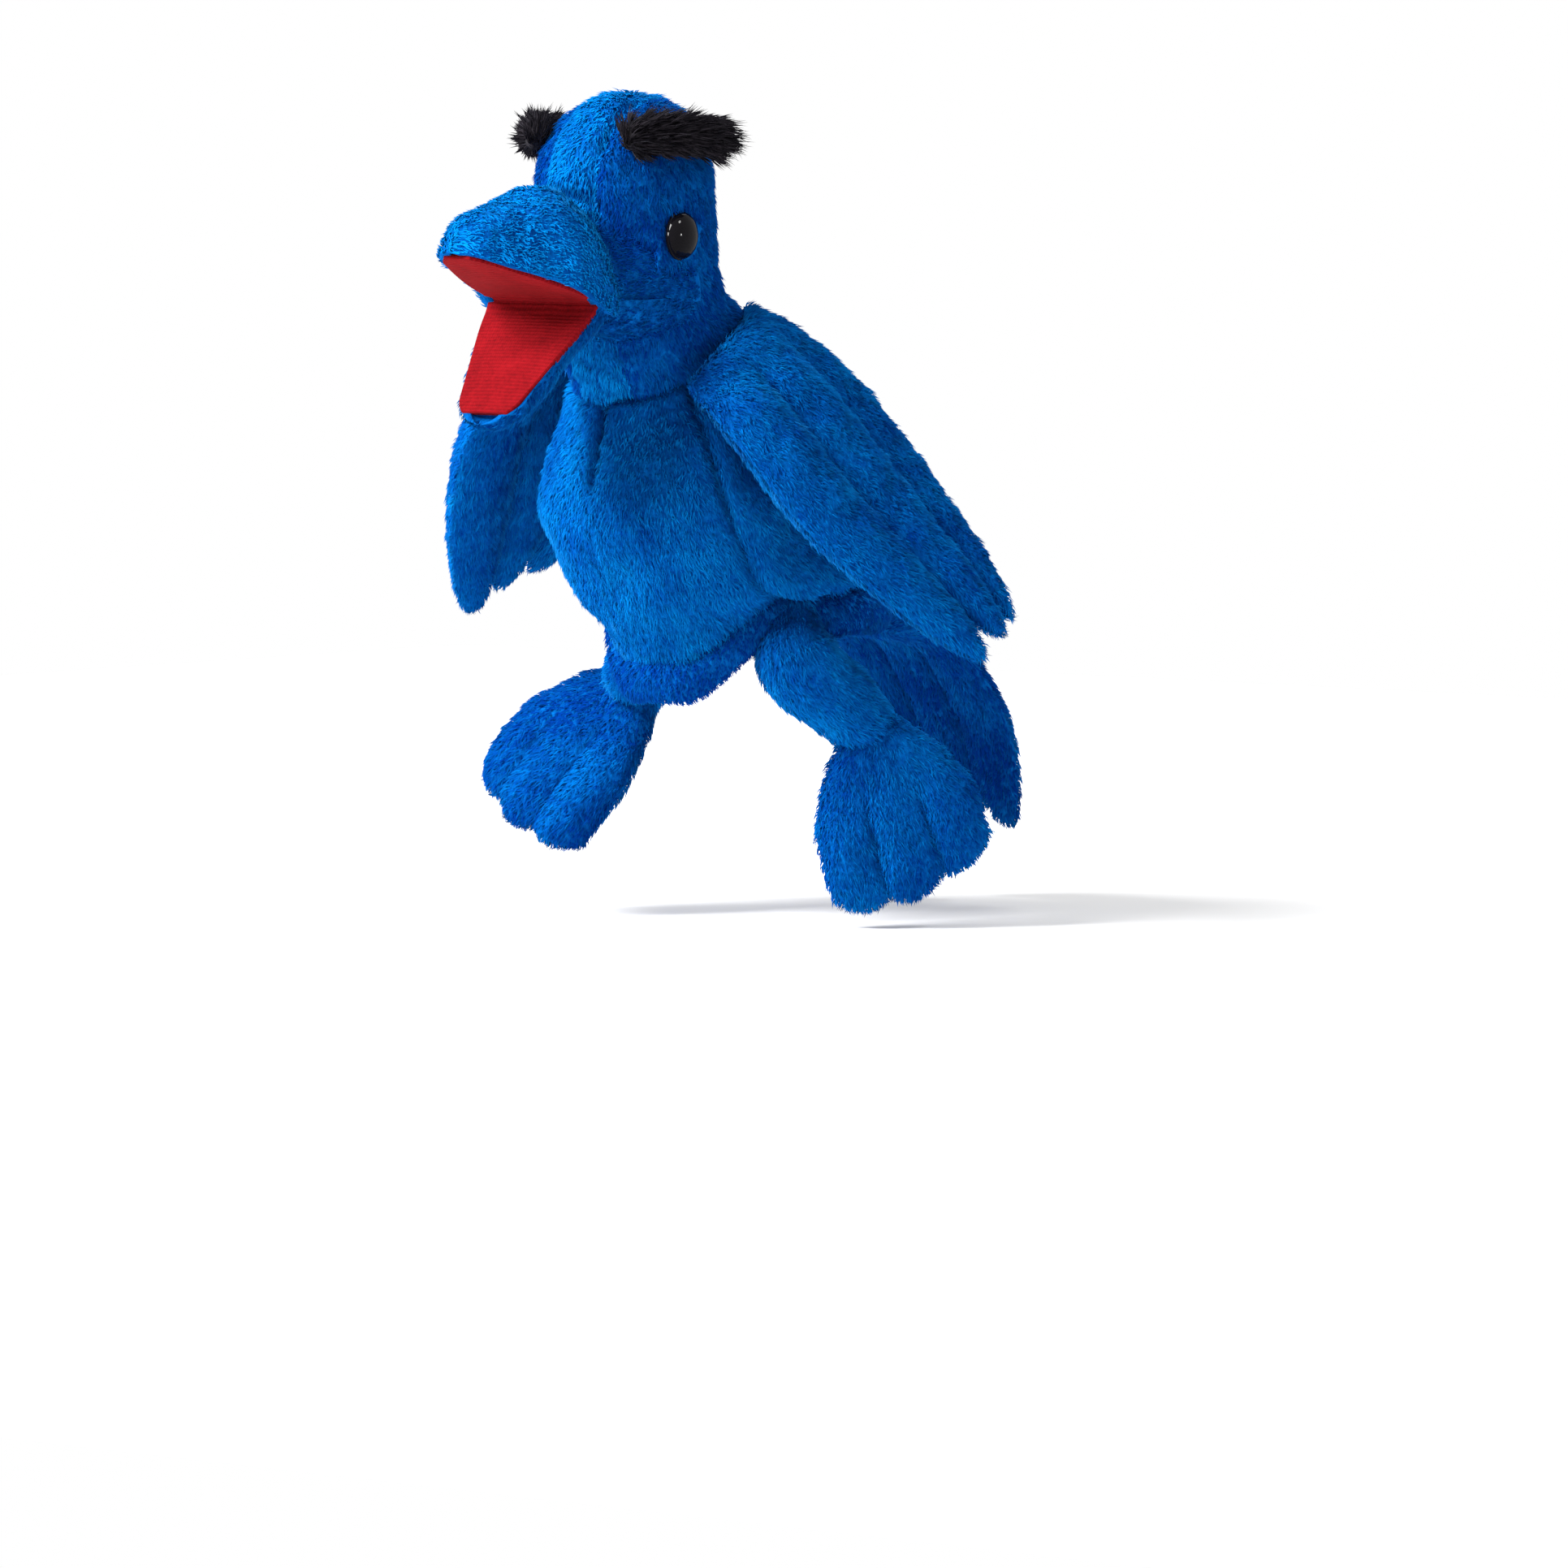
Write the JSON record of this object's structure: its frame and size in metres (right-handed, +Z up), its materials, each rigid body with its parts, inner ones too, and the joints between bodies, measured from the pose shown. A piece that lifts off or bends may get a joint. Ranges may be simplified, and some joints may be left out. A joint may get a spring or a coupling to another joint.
{
  "type": "moving mouth puppet",
  "caption": "Plush bird finger puppet with a red-lined moving mouth, padded wings, dangling legs and a tail.",
  "frame": {"origin": "centre of the finger opening, at the mean height of the hem", "axes": "+Z up as the puppet is held, -Y the way the bird faces, +X its left side"},
  "size_m": [0.1194, 0.1441, 0.1449],
  "materials": {
    "blue_plush": "short dense pile",
    "red_knit": "brushed rib knit",
    "black_fur": "long straight pile",
    "eye_plastic": "glossy",
    "washer_nylon": "moulded",
    "lining_cloth": "plain weave",
    "mouth_board": "thin flexible board",
    "fibre_filling": "loose polyester fibre"
  },
  "bodies": {
    "body": {"body_front": "blue_plush", "body_back": "blue_plush", "hem_band": "blue_plush", "finger_sleeve": "lining_cloth", "body_stuffing": "fibre_filling"},
    "head": {"head_side_left": "blue_plush", "head_side_right": "blue_plush", "crown_gusset": "blue_plush", "head_pocket": "lining_cloth", "head_stuffing": "fibre_filling", "beak_upper_cover": "blue_plush", "palate_upper": "red_knit", "mouth_board_upper": "mouth_board", "beak_stuffing": "fibre_filling", "eye_left": "eye_plastic", "eye_right": "eye_plastic", "eye_washer_left": "washer_nylon", "eye_washer_right": "washer_nylon", "brow_left": "black_fur", "brow_right": "black_fur"},
    "jaw": {"beak_lower_cover": "blue_plush", "palate_lower": "red_knit", "mouth_board_lower": "mouth_board", "jaw_stuffing": "fibre_filling"},
    "wing_left": {"wing_left_top": "blue_plush", "wing_left_under": "blue_plush", "wing_left_batting": "fibre_filling"},
    "wing_right": {"wing_right_top": "blue_plush", "wing_right_under": "blue_plush", "wing_right_batting": "fibre_filling"},
    "leg_left": {"leg_left": "blue_plush", "leg_left_filling": "fibre_filling"},
    "leg_right": {"leg_right": "blue_plush", "leg_right_filling": "fibre_filling"},
    "foot_left": {"foot_left_upper": "blue_plush", "foot_left_sole": "blue_plush", "foot_left_filling": "fibre_filling"},
    "foot_right": {"foot_right_upper": "blue_plush", "foot_right_sole": "blue_plush", "foot_right_filling": "fibre_filling"},
    "tail": {"tail_top": "blue_plush", "tail_under": "blue_plush", "tail_batting": "fibre_filling"}
  },
  "joints": [
    {"name": "neck_nod", "type": "hinge", "parent": "body", "child": "head", "pos_m": [0, -0.025, 0.056], "axis": [1, 0, 0], "range_deg": [-8, 28], "stiffness_Nm_per_rad": 0.1},
    {"name": "jaw_close", "type": "hinge", "parent": "head", "child": "jaw", "pos_m": [0, -0.054, 0.064], "axis": [-1, 0, 0], "range_deg": [-16, 56], "stiffness_Nm_per_rad": 0.02},
    {"name": "wing_left_flap", "type": "hinge", "parent": "body", "child": "wing_left", "pos_m": [0.01275, -0.0225, 0.057], "axis": [0.2752, -0.8096, -0.5184], "range_deg": [-5, 48], "stiffness_Nm_per_rad": 0.02},
    {"name": "wing_right_flap", "type": "hinge", "parent": "body", "child": "wing_right", "pos_m": [-0.01275, -0.0225, 0.057], "axis": [0.2752, 0.8096, 0.5184], "range_deg": [-5, 48], "stiffness_Nm_per_rad": 0.02},
    {"name": "leg_left_swing", "type": "hinge", "parent": "body", "child": "leg_left", "pos_m": [0.0205, -0.0125, 0.0005], "axis": [-1, 0, 0], "range_deg": [-5, 55], "stiffness_Nm_per_rad": 0.02},
    {"name": "leg_right_swing", "type": "hinge", "parent": "body", "child": "leg_right", "pos_m": [-0.0205, -0.0125, 0.0005], "axis": [-1, 0, 0], "range_deg": [-5, 55], "stiffness_Nm_per_rad": 0.02},
    {"name": "foot_left_flex", "type": "hinge", "parent": "leg_left", "child": "foot_left", "pos_m": [0.0265, 0.002, -0.0115], "axis": [-0.7126, -0.5982, -0.3664], "range_deg": [-25, 25], "stiffness_Nm_per_rad": 0.01},
    {"name": "foot_right_flex", "type": "hinge", "parent": "leg_right", "child": "foot_right", "pos_m": [-0.0258, 0.0001, -0.006], "axis": [-0.8651, 0.1346, 0.4832], "range_deg": [-22, 22], "stiffness_Nm_per_rad": 0.01},
    {"name": "tail_lift", "type": "hinge", "parent": "body", "child": "tail", "pos_m": [0, 0.03, 0.0065], "axis": [1, 0, 0], "range_deg": [-10, 60], "stiffness_Nm_per_rad": 0.02}
  ],
  "couplings": [
    {"joint": "jaw_close", "follows": "neck_nod", "ratio": 2}
  ]
}
